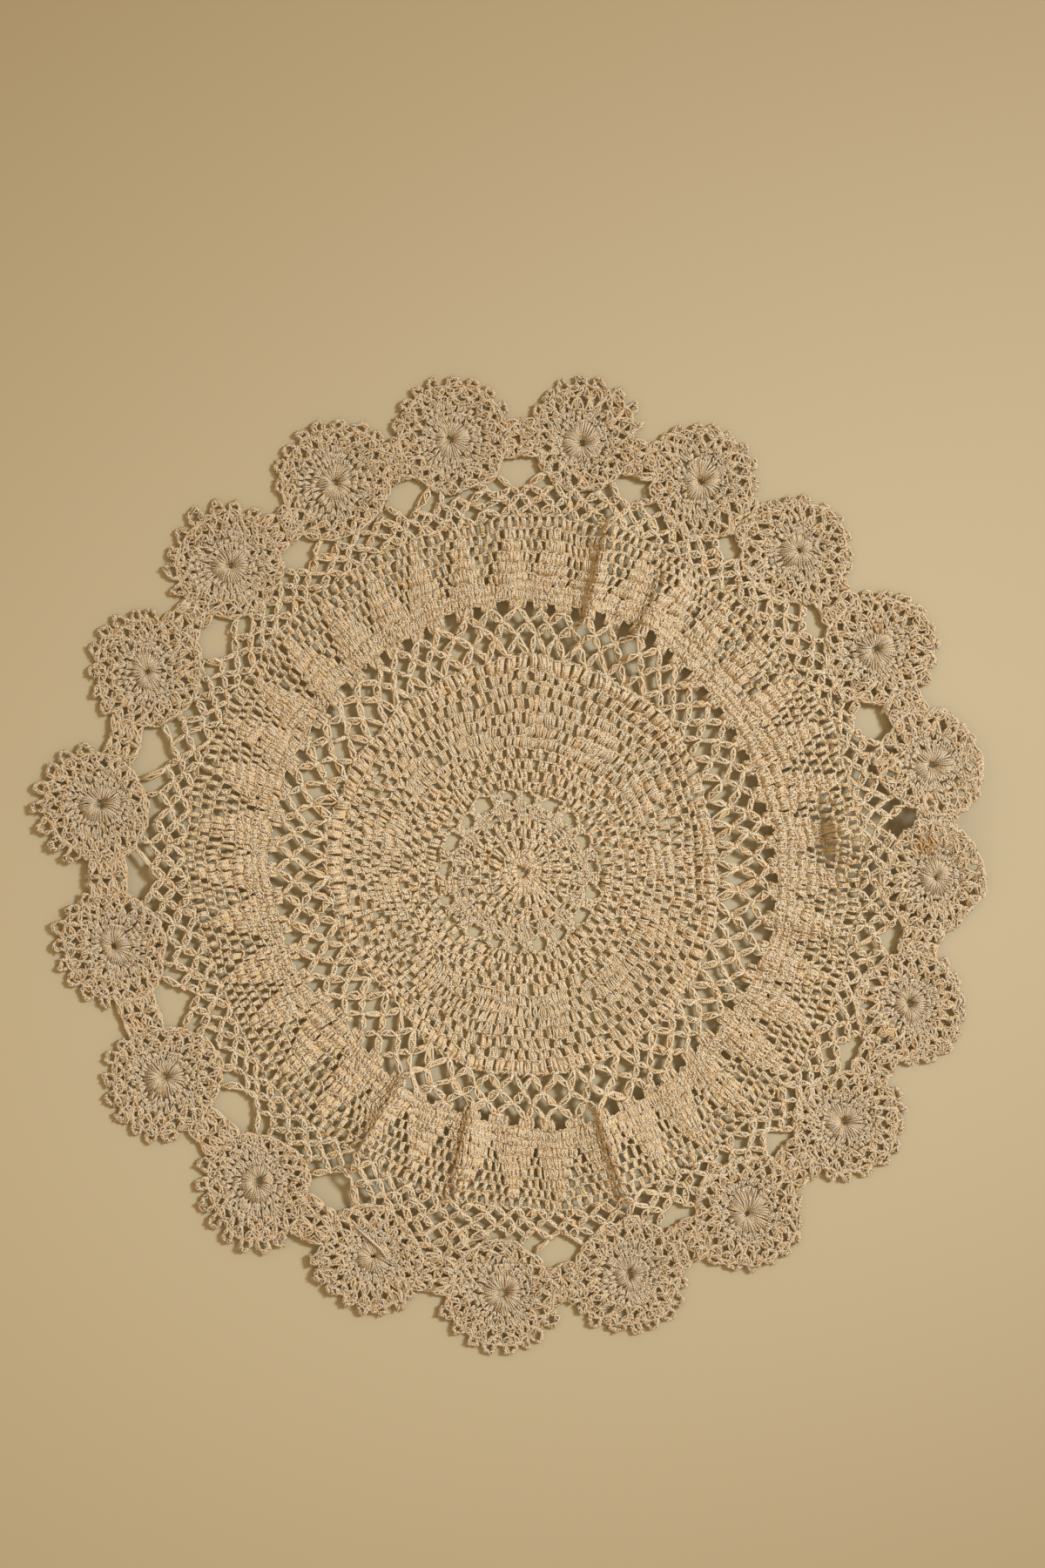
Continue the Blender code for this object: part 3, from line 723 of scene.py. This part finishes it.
# Band: slots to a round, then the rounds as inner and outer depth and holes in each wedge, how
# much of its slot a stitch fills, slots from hole to hole, slots to each group of the first
# round, and slots from its middle to its last stitch.
BAND_SLOTS = 480
FIRST_ROUND = (-0.053, 0.053)
BAND_ROUNDS = ((0.053, 0.159, 0), (0.159, 0.26, 0), (0.26, 0.365, 1), (0.365, 0.49, 2),
               (0.49, 0.625, 3), (0.625, 0.75, 4), (0.75, 0.87, 5), (0.87, 1.0, 6))
BAND_WALL = 1.12
BAND_STEP = 2
GROUP_SLOTS = 8
GROUP_HALF = 2

# Outer net: cells to each rosette, and the height of each round of knots over the band's edge.
# Its feet start at these cells from the rosette's own, and end this far inside its lace's edge.
NET_CELLS = 5
NET_HEIGHTS = (0.0, 4.4, 8.8, 12.9)
NET_FEET = (-2, -1, 1, 2)
FOOT_INSET = 0.4


def band(rng):
    """Groups against the trellis, two dense rounds, then wedges of holes that widen outwards."""
    slot = np.arange(BAND_SLOTS)
    grouped = np.abs(np.mod(slot, GROUP_SLOTS) - GROUP_SLOTS / 2) <= GROUP_HALF
    phase = TRELLIS_PHASE * GROUP_SLOTS
    bundles = crochet_row(BAND_SPOT, BAND_SLOTS, *FIRST_ROUND, grouped, rng, phase=phase)
    for low, high, holes in BAND_ROUNDS:
        filled = spaced_holes(BAND_SLOTS, BAND_SLOTS // REPEATS, holes, BAND_STEP)
        bundles += crochet_row(BAND_SPOT, BAND_SLOTS, low, high, filled, rng, wall=BAND_WALL)
    return bundles


def net(rng):
    """Chain legs between staggered rounds of knots, from the band's edge to the rosettes."""
    count = NET_CELLS * len(ROSETTES)
    cell = np.arange(count)
    bundles = []
    for row, (low, high) in enumerate(zip(NET_HEIGHTS, NET_HEIGHTS[1:])):
        knot = cell + 0.5 * (row % 2 == 1)
        for side in (-0.5, 0.5):
            bundles += legs(net_spot, (knot + side) / count, low, knot / count, high, rng, NET_WIDTH)
        bundles += knots(net_spot, knot / count, high, rng)
    centres = ROSETTES[ORDER, :2]
    for step in NET_FEET:
        start = net_spot((cell[::NET_CELLS] + step) / count, NET_HEIGHTS[-1])
        end = centres + (LACE_REACH - FOOT_INSET) * unit(start - centres)
        bundles += leg(start, end, NET_WIDTH, rng)
    return bundles


def in_half(bundles, half):
    """Keeps the strands whose middle is on one side of the doily, half 0 to +X and 1 to -X."""
    kept = []
    for paths, radius, tone, layer in bundles:
        side = paths.mean(axis=1)[:, 0] < CENTRE[0]
        kept.append((paths[side == half], radius, tone[side == half], layer))
    return kept


# Rosettes: spokes, rounds of single crochet, loops of lace, and knobs outwards. The ground
# under the spokes starts a little outside the hole, and its half width is a share of the arc
# from spoke to spoke at three radii.
SPOKES = 40
SPOKE = (((0.0, -0.10, 0.6), (0.06, 0.40, 1.15), (0.0, 1.05, 0.95)),)
SPOKE_END = 7.8
SPOKE_THREAD = 0.27
SPOKE_INSET = 0.3
SPOKE_SHARE = 0.55
SPOKE_HALF = SPOKE_SHARE * 2 * math.pi / SPOKES * np.array((2.6, 4.8, 7.8))
# Slots, and the inner and outer share of the way from the spokes' end to the disc's edge.
DISC_ROUNDS = ((28, 0, 0.34), (33, 0.34, 0.67), (38, 0.67, 1))
# The discs' thread is painted lighter than the lace round them: painted light against the shade of the
# open lace.
DISC_PAINTED_LIGHT = 1.4
# Loops to a round, the radius of the knots between the two rounds, and how far inside the
# lace's reach its last knots lie. Then the knobs, and the degrees from one to the next.
LACE_LOOPS = 21
LACE_MIDDLE = 18.6
LACE_EDGE = 1.0
KNOBS = 8
KNOB_STEP = 19.5
# A knob's path: across in millimetres, share of the way from its foot to its top.
KNOB = ((-2.2, 0.0), (-2.2, 0.7), (0.0, 1.0), (2.2, 0.7), (2.2, 0.0))
KNOB_WIDTH = 0.6
# A loose end of thread that lies on one rosette.
TAIL_ROSETTE = 12
TAIL = ((-66.9, -156.6, 2.2), (-62.1, -161.4, 2.4), (-56.8, -167.4, 2.4), (-54.3, -171.8, 1.8))
TAIL_THREAD = 0.6


def loops_round(spot, loops, low, high, phase, rng):
    """Zigzag of legs between staggered knots on two rounds."""
    turn = (np.arange(loops) + phase) / loops
    half = 0.5 / loops
    bundles = []
    for side in (-half, half):
        bundles += legs(spot, turn, low, turn + side, high, rng, LACE_WIDTH)
    return bundles + knots(spot, turn + half, high, rng)


def rosette(k, rng):
    """Fine spokes round the hole, three dotted rounds, two rounds of loops, then the knobs."""
    disc, hole, picot = ROSETTES[ORDER[k], 2:]
    spot = rosette_spot(k, rng)
    turn = np.arange(SPOKES) / SPOKES
    bundles = []
    for template, half, inset, layer, loose in (
            (SPOKE, SPOKE_THREAD, 0, STITCH, LOOSE),
            (POST_GROUND, SPOKE_HALF, SPOKE_INSET, GROUND, LOOSE_GROUND)):
        paths, tone = strands(spot, turn, 1 / SPOKES, hole + inset, SPOKE_END, template, rng, loose)
        bundles.append((paths, half, tone, layer))
    for slots, low, high in DISC_ROUNDS:
        start = SPOKE_END + low * (disc - SPOKE_END)
        end = SPOKE_END + high * (disc - SPOKE_END)
        bundles += crochet_row(spot, slots, start, end, True, rng, phase=rng.uniform(),
                               dotted=True, short=True)
    # Painted light: the disc's strands are coloured lighter than the lace.
    bundles = [(paths, half, tone + DISC_PAINTED_LIGHT, layer) for paths, half, tone, layer in bundles]
    phase = rng.uniform()
    outer = LACE_REACH - LACE_EDGE
    bundles += loops_round(spot, LACE_LOOPS, disc, LACE_MIDDLE, phase, rng)
    bundles += loops_round(spot, LACE_LOOPS, LACE_MIDDLE, outer, phase + 0.5, rng)
    knot = (np.arange(LACE_LOOPS) + phase) / LACE_LOOPS
    bundles += legs(spot, knot, outer, knot + 1 / LACE_LOOPS, outer, rng, LACE_WIDTH)
    at = (np.arange(KNOBS) - (KNOBS - 1) / 2) * KNOB_STEP / 360
    top = picot - 2 * THREAD
    for (left, low), (right, high) in zip(KNOB, KNOB[1:]):
        low, high = (outer + share * (top - outer) for share in (low, high))
        bundles += legs(spot, at + left / (2 * math.pi * low), low,
                        at + right / (2 * math.pi * high), high, rng, KNOB_WIDTH)
    if ORDER[k] == TAIL_ROSETTE:
        bundles.append((np.array(TAIL)[None], TAIL_THREAD, np.ones(1), STITCH))
    return bundles + webs(k, rng)


# Where the knots between two rosettes lie on the line outwards, how far that line is moved
# back, and how far to either side two legs to one knot set out.
WEB_KNOTS = (-8.4, -3.2, 2.0, 7.0)
WEB_SHIFT = 0.5
WEB_SPREAD = 2.4
# Legs that close the gap inside one pair: start and end of each, along the line between the two
# and outwards. Each has its mirror.
CLOSED_MESH = ((0, -8.4, 5, -13), (5, -13, 0, -18), (5, -13, 10, -18), (5, -13, 11, -11),
               (0, -18, 5, -23.5), (10, -18, 5, -23.5), (10, -18, 15, -23.5))


def webs(k, rng):
    """Legs from the rosette's edge to knots on the line half way to each neighbour."""
    here = ROSETTES[ORDER[k], :2]
    bundles = []
    for side in (-1, 1):
        other = ROSETTES[ORDER[(k + side) % len(ORDER)], :2]
        middle = (here + other) / 2
        along = unit(other - here)
        normal = middle - CENTRE
        normal = unit(normal - along * (normal @ along))
        ends = middle - along * WEB_SHIFT + np.outer(WEB_KNOTS, normal)
        if side == 1:
            bundles += leg(ends[:-1], ends[1:], LACE_WIDTH, rng)
        if side == 1 and ORDER[k] == CLOSED_PAIR:
            mesh = np.array([(u * s, v, w * s, z) for u, v, w, z in CLOSED_MESH for s in (-1, 1)])
            start = middle + mesh[:, :1] * along + mesh[:, 1:2] * normal
            stop = middle + mesh[:, 2:3] * along + mesh[:, 3:] * normal
            bundles += leg(start, stop, NET_WIDTH, rng)
        for spread in (-WEB_SPREAD, WEB_SPREAD):
            aim = unit(ends + normal * spread - here)
            bundles += leg(here + aim * (LACE_REACH - LACE_EDGE), ends, LACE_WIDTH, rng)
    return bundles


# Materials. Lengths are millimetres unless a name says metres.
THREAD_ROUGHNESS = 0.8
TABLE_ROUGHNESS = 0.6
# Heights over the lace from the painted shade of thread that lies deep to the light tone on top,
# and how much a stitch's own tone adds.
PAINTED_SHADE_HEIGHTS = (0.45, 1.2)
TONE_SHARE = 0.25
# The twist: its pitch, the part of its wave that paints shade, and the painted shade in its grooves.
PLY_PITCH = 0.95
PLY_WAVE = (-1.0, 0.3)
PLY_PAINTED_SHADE = 0.4
# The grain: its size, the part of its noise that shades, and its darkest shade.
GRAIN = 1.2
GRAIN_RANGE = (0.3, 0.6)
GRAIN_SHADE = 0.55
BUMP_STRENGTH = 0.8
BUMP_METRES = 0.0004
# Sockets of a colour mix: share, two colours, and result.
MIX_SHARE, MIX_FIRST, MIX_SECOND, MIX_RESULT = 0, 6, 7, 2


def node_maker(tree):
    """A function that adds a shader node and returns one of its outputs. Each input, by name
    or number, takes a value or another node's output."""
    def add(kind, output, inputs=(), **settings):
        made = tree.nodes.new("ShaderNode" + kind)
        for name, value in settings.items():
            setattr(made, name, value)
        for name, value in dict(inputs).items():
            if isinstance(value, bpy.types.NodeSocket):
                tree.links.new(value, made.inputs[name])
            else:
                made.inputs[name].default_value = value
        return made.outputs[output]
    return add


def thread_material(name, light, painted_shade, stains):
    """Thread colour between a painted shade for thread that lies deep and a light tone: the share
    is (height + part of the stitch's tone) * twist * grain, so low thread and the twist's grooves
    get painted shade. Stains fade out with the distance in plan, and twist * grain is the bump. A
    thread is made once."""
    if name in bpy.data.materials:
        return bpy.data.materials[name]
    made = bpy.data.materials.new(name)
    made.use_nodes = True
    add = node_maker(made.node_tree)

    def calc(operation, *values):
        return add("Math", "Value", enumerate(values), operation=operation)

    def ranged(value, low, high, first, last, curve="LINEAR"):
        """First at low, last at high, and held there outside."""
        limits = {"Value": value, "From Min": low, "From Max": high, "To Min": first, "To Max": last}
        return add("MapRange", "Result", limits, interpolation_type=curve)

    def mixed(share, first, second):
        ends = {MIX_SHARE: share, MIX_FIRST: first, MIX_SECOND: second}
        return add("Mix", MIX_RESULT, ends, data_type="RGBA")

    depth, tone = (add("Attribute", "Fac", attribute_name=label) for label in ("depth", "tone"))
    place = add("TexCoord", "Object")
    thread_map = add("UVMap", "UV", uv_map="thread")
    along, turn = (add("SeparateXYZ", axis, {"Vector": thread_map}) for axis in "XY")
    # Painted shade: thread that lies lower is coloured darker, towards the deep tone.
    height = ranged(depth, *PAINTED_SHADE_HEIGHTS, 0, 1)
    spread = calc("MULTIPLY_ADD", tone, TONE_SHARE, height)
    run = calc("MULTIPLY_ADD", along, 1 / PLY_PITCH, turn)
    wave = calc("SINE", calc("MULTIPLY", run, 2 * math.pi))
    # Painted shade in the twist's grooves; the same twist also makes the bump.
    ply = ranged(wave, *PLY_WAVE, PLY_PAINTED_SHADE, 1, "SMOOTHSTEP")
    noise = add("TexNoise", "Fac", {"Scale": 1 / (GRAIN * MM), "Detail": 1.0, "Vector": place})
    grain = ranged(noise, *GRAIN_RANGE, GRAIN_SHADE, 1)
    colour = mixed(calc("MULTIPLY", calc("MULTIPLY", spread, ply), grain), (*painted_shade, 1), (*light, 1))
    level = add("VectorMath", "Vector", {0: place, 1: (1, 1, 0)}, operation="MULTIPLY")
    for x, y, reach, strength, stain in stains:
        gap = add("VectorMath", "Value", {0: level, 1: (x * MM, y * MM, 0)}, operation="DISTANCE")
        fade = ranged(gap, 0, reach * MM, strength, 0, "SMOOTHSTEP")
        colour = mixed(fade, colour, (*stain, 1))
    relief = add("Bump", "Normal", {"Strength": BUMP_STRENGTH, "Distance": BUMP_METRES,
                                    "Height": calc("MULTIPLY", ply, grain)})
    shader = made.node_tree.nodes["Principled BSDF"].inputs
    shader["Roughness"].default_value = THREAD_ROUGHNESS
    made.node_tree.links.new(relief, shader["Normal"])
    made.node_tree.links.new(colour, shader["Base Color"])
    return made


def plain_material(name, colour, roughness):
    """One even colour and roughness."""
    made = bpy.data.materials.new(name)
    made.use_nodes = True
    shader = made.node_tree.nodes["Principled BSDF"]
    shader.inputs["Base Color"].default_value = (*colour, 1)
    shader.inputs["Roughness"].default_value = roughness
    return made


# Stains: place, reach, strength at the middle, and colour.
STAIN = (0.45, 0.26, 0.08)
STAINS = ((180.5, 8.9, 9, 0.65, STAIN), (160, 103, 6, 0.5, STAIN))
SPOT_STAINS = ((-9.2, 3.4, 2.6, 0.8, (0.55, 0.29, 0.07)),)


class DoilyFinish(bpy.types.PropertyGroup):
    """Colours of the thread, its painted shade, and the table."""

    thread_colour: FloatVectorProperty(
        name="Thread", description="Colour of the thread where it lies highest",
        subtype="COLOR", size=3, min=0, max=1, default=(0.69, 0.69, 0.66))
    rosette_colour: FloatVectorProperty(
        name="Rosettes", description="Colour of the rosettes' thread where it lies highest",
        subtype="COLOR", size=3, min=0, max=1, default=(0.615, 0.60, 0.565))
    # Painted shade: the colour of thread that lies deepest, standing in for the shade between strands.
    painted_shade_colour: FloatVectorProperty(
        name="Thread in depth", description="Colour of the thread that lies deepest",
        subtype="COLOR", size=3, min=0, max=1, default=(0.60, 0.388, 0.115))
    table_colour: FloatVectorProperty(
        name="Table", description="Colour of the surface underneath",
        subtype="COLOR", size=3, min=0, max=1, default=(0.43, 0.405, 0.315))


class DoilySizes(bpy.types.PropertyGroup):
    """Sizes of the table and the view."""

    floor_size: FloatProperty(
        name="Table size", description="Side of the surface underneath",
        unit="LENGTH", default=4.0, min=0.5)
    view_height: FloatProperty(
        name="View height", description="Height of the camera over the table",
        unit="LENGTH", default=1.4, min=0.2)


def lay(name, bundles, finish_material, solid, area):
    """One piece of lace: its ground as the sheet, and the stitches that stand on it. Both stand
    for the same solid."""
    for label, layer in ((name, GROUND), (f"{name}_stitches", STITCH)):
        obj = knit(label, bundles, layer)
        obj.data.materials.append(finish_material)
        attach(obj, "root")
        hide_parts(solid)


def round_thread():
    """The thread of the part that is worked in the round."""
    finish = bpy.context.scene.doily_finish
    return thread_material(
        "ecru_crochet_thread", finish.thread_colour, finish.painted_shade_colour, SPOT_STAINS)


def rosette_thread():
    """The thread of the rosettes."""
    finish = bpy.context.scene.doily_finish
    return thread_material(
        "rosette_crochet_thread", finish.rosette_colour, finish.painted_shade_colour, STAINS)


# Flat sizes and areas of the sheets, in metres and square metres.
HEART_FLAT, HEART_AREA = (0.1376, 0.1376), 0.01486
RIM_FLAT, RIM_AREA = (0.218, 0.218), 0.0181
BAND_FLAT, BAND_AREA = (0.165, 0.33), 0.0262


def flat_area(name):
    """Area of a solid sheet seen from above: half the level share of all its faces."""
    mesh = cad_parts[name].data
    area, normal = np.empty(len(mesh.polygons)), np.empty(len(mesh.polygons) * 3)
    mesh.polygons.foreach_get("area", area)
    mesh.polygons.foreach_get("normal", normal)
    return float((area * np.abs(normal[2::3])).sum() / 2)


class DOILY_OT_medallion(bpy.types.Operator):
    """Adds the medallion and the trellis round it"""

    bl_idname = "doily.medallion"
    bl_label = "Medallion"

    def execute(self, context):
        rng = np.random.default_rng(SEED)
        lay("medallion_heart", medallion_heart(rng), round_thread(), "round_body",
            HEART_AREA)
        lay("medallion_rim", medallion_rim(rng), round_thread(), "round_body",
            RIM_AREA)
        return {"FINISHED"}


class DOILY_OT_band(bpy.types.Operator):
    """Adds the ruffled band with the net outside it, in two halves"""

    bl_idname = "doily.band"
    bl_label = "Band and net"

    def execute(self, context):
        rng = np.random.default_rng(BAND_SEED)
        bundles = band(rng) + net(rng)
        for half, name in enumerate(("band_right", "band_left")):
            lay(name, in_half(bundles, half), round_thread(), "round_body",
                BAND_AREA)
        return {"FINISHED"}


class DOILY_OT_rosettes(bpy.types.Operator):
    """Adds the twenty rosettes of the border"""

    bl_idname = "doily.rosettes"
    bl_label = "Rosettes"

    def execute(self, context):
        for k in range(len(ORDER)):
            rng = np.random.default_rng(ROSETTE_SEED + k)
            solid = f"rosette_{k + 1:02d}"
            lay(f"lace_{solid}", rosette(k, rng), rosette_thread(), solid,
                flat_area(solid))
        return {"FINISHED"}


# The view, in millimetres: the sensor, the height of what it takes in, and the place below it.
SENSOR = 36
VIEW_TALL = 684
AIM = (5.7, 35.0)
# The lamp, in metres: its own radius, how far off it is, and the place and radius it lights.
# Then its bearing and height in degrees, its power and colour, and the room's own light.
LAMP_RADIUS = 0.42
LAMP_REACH = 3.0
LIT_MIDDLE = (0.08, 0, 0)
LIT_RADIUS = 0.48
LAMP_BEARING, LAMP_RISE = 22, 42
LAMP_WATTS = 610
LAMP_COLOUR = (1, 0.975, 0.89)
ROOM_COLOUR = (1, 0.67, 0.33)
ROOM_STRENGTH = 0.68


class DOILY_OT_stage(bpy.types.Operator):
    """Adds the table, the lights and the camera"""

    bl_idname = "doily.stage"
    bl_label = "Table and light"

    def execute(self, context):
        scene = context.scene
        finish, sizes = scene.doily_finish, scene.doily_sizes
        half = sizes.floor_size / 2
        mesh = bpy.data.meshes.new("table_top")
        mesh.from_pydata([(-half, -half, 0), (half, -half, 0), (half, half, 0), (-half, half, 0)],
                         [], [(0, 1, 2, 3)])
        mesh.materials.append(plain_material("pale_table", finish.table_colour, TABLE_ROUGHNESS))
        table = added("table_top", mesh)

        world = bpy.data.worlds.new("room_light")
        world.use_nodes = True
        room = world.node_tree.nodes["Background"].inputs
        room["Color"].default_value = (*ROOM_COLOUR, 1)
        room["Strength"].default_value = ROOM_STRENGTH
        scene.world = world
        light = bpy.data.lights.new("window", "SPOT")
        light.shadow_soft_size = LAMP_RADIUS
        light.spot_size = 2 * math.atan(LIT_RADIUS / LAMP_REACH)
        light.spot_blend = 1.0
        light.energy = LAMP_WATTS
        light.color = LAMP_COLOUR
        lamp = added("window", light)
        turn, rise = math.radians(LAMP_BEARING), math.radians(LAMP_RISE)
        level = LAMP_REACH * math.cos(rise)
        lamp.location = (level * math.cos(turn), level * math.sin(turn), LAMP_REACH * math.sin(rise))
        aim = Vector(LIT_MIDDLE) - lamp.location
        lamp.rotation_euler = aim.to_track_quat("-Z", "Y").to_euler()

        camera = bpy.data.cameras.new("camera")
        camera.sensor_fit = "VERTICAL"
        camera.sensor_height = SENSOR
        camera.lens = SENSOR * sizes.view_height / (VIEW_TALL * MM)
        scene.camera = added("camera", camera)
        scene.camera.location = (AIM[0] * MM, AIM[1] * MM, sizes.view_height)
        scene.view_settings.view_transform = "Standard"
        return {"FINISHED"}


class DOILY_PT_panel(bpy.types.Panel):
    """Colours, sizes and operators"""

    bl_label = "Lace doily"
    bl_idname = "DOILY_PT_panel"
    bl_space_type = "VIEW_3D"
    bl_region_type = "UI"
    bl_category = "Doily"

    def draw(self, context):
        layout = self.layout
        for group in (context.scene.doily_finish, context.scene.doily_sizes):
            for name in group.bl_rna.properties.keys():
                if name not in ("rna_type", "name"):
                    layout.prop(group, name)
        for operator in OPERATORS:
            layout.operator(operator.bl_idname)


OPERATORS = (DOILY_OT_medallion, DOILY_OT_band, DOILY_OT_rosettes, DOILY_OT_stage)
CLASSES = (DoilyFinish, DoilySizes, *OPERATORS, DOILY_PT_panel)


def register():
    """Adds the classes and the scene's own settings."""
    for kind in CLASSES:
        bpy.utils.register_class(kind)
    bpy.types.Scene.doily_finish = PointerProperty(type=DoilyFinish)
    bpy.types.Scene.doily_sizes = PointerProperty(type=DoilySizes)


def unregister():
    """Takes both away again."""
    del bpy.types.Scene.doily_sizes
    del bpy.types.Scene.doily_finish
    for kind in reversed(CLASSES):
        bpy.utils.unregister_class(kind)


def main():
    """Builds the pieces and the stage."""
    register()
    for operator in ("medallion", "band", "rosettes", "stage"):
        getattr(bpy.ops.doily, operator)()


if __name__ == "__main__":
    main()
